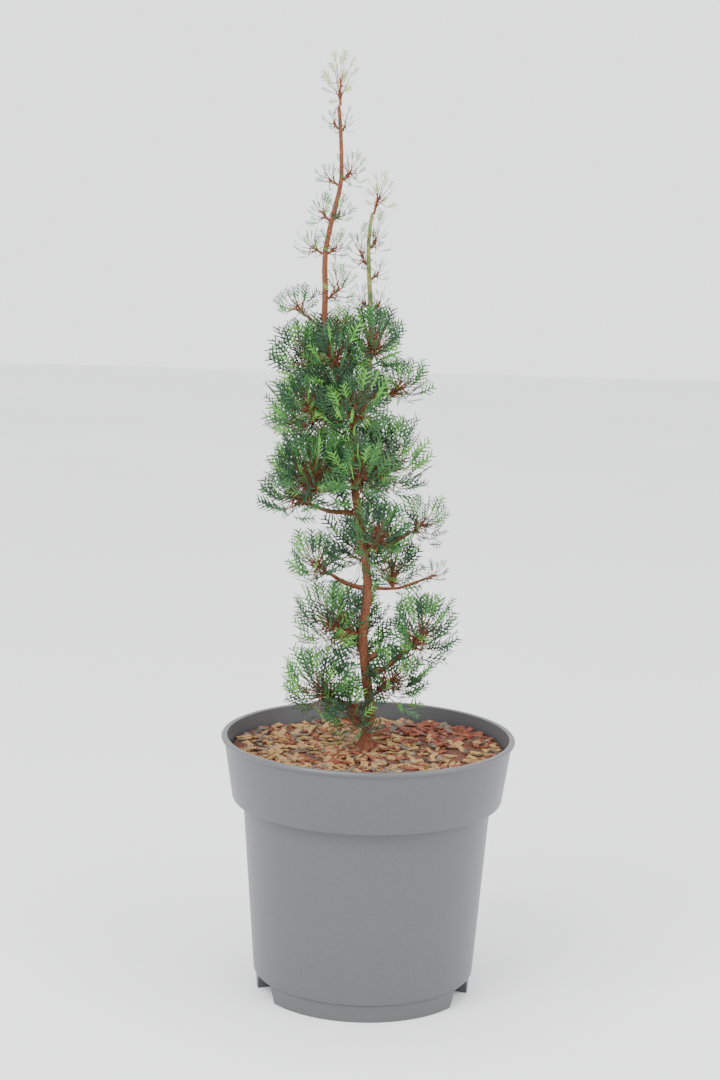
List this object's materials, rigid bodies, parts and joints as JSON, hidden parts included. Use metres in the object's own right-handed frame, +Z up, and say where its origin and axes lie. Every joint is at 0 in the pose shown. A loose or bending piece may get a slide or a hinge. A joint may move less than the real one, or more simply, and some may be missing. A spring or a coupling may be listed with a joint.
{
  "type": "potted columnar false cypress",
  "caption": "Young columnar false cypress with leaders and dense fan-like sprays of scale leaves, in a round grey nursery pot topped with bark mulch.",
  "frame": {"origin": "middle of the pot's foot, on the surface that the pot stands on", "axes": "+Z up along the pot's axis; -Y is the side the plant is usually seen from; +X to the right of it"},
  "size_m": [0.22, 0.22, 0.6927],
  "materials": {
    "pot": "matte",
    "potting_mix": "rough",
    "bark": "rough",
    "young_shoot": "satin",
    "foliage": "satin",
    "young_foliage": "satin"
  },
  "bodies": {
    "root": {"bough_base_left": "bark", "bough_left": "bark", "bough_left_low": "bark", "bough_right": "bark", "bough_right_low": "bark", "bough_sprig_right": "bark", "bough_top_left": "bark", "bough_upper_right": "bark", "foliage_back_foot": "foliage", "foliage_back_low": "foliage", "foliage_base_front": "foliage", "foliage_base_left": "foliage", "foliage_base_right": "foliage", "foliage_front_airy": "foliage", "foliage_left_arm": "foliage", "foliage_left_foot": "foliage", "foliage_left_leader_a_left": "foliage", "foliage_left_leader_a_right": "foliage", "foliage_left_leader_b_left": "foliage", "foliage_left_leader_b_right": "foliage", "foliage_left_leader_c_left": "foliage", "foliage_left_leader_c_right": "foliage", "foliage_left_leader_d_left": "foliage", "foliage_left_leader_d_right": "foliage", "foliage_left_leader_e_right": "foliage", "foliage_left_leader_f_right": "foliage", "foliage_left_low_arm": "foliage", "foliage_left_sprig": "foliage", "foliage_lower_back": "foliage", "foliage_lower_front": "foliage", "foliage_lower_left_back": "foliage", "foliage_lower_left_front": "foliage", "foliage_lower_right": "foliage", "foliage_middle_back": "foliage", "foliage_middle_front": "foliage", "foliage_middle_left_back": "foliage", "foliage_middle_left_front": "foliage", "foliage_right_airy": "foliage", "foliage_right_arm": "foliage", "foliage_right_leader_a_left": "foliage", "foliage_right_leader_a_right": "foliage", "foliage_right_leader_b_right": "foliage", "foliage_right_leader_c_left": "foliage", "foliage_right_leader_c_right": "foliage", "foliage_right_leader_tip": "young_foliage", "foliage_right_low_arm": "foliage", "foliage_right_sprig": "foliage", "foliage_tip": "young_foliage", "foliage_top_left_arm": "foliage", "foliage_upper_back": "foliage", "foliage_upper_front": "foliage", "foliage_upper_left": "foliage", "foliage_upper_right_arm": "foliage", "foliage_upper_right_back": "foliage", "foliage_upper_right_front": "foliage", "pot": "pot", "potting_mix": "potting_mix", "right_leader": "young_shoot", "trunk": "bark"}
  },
  "joints": []
}
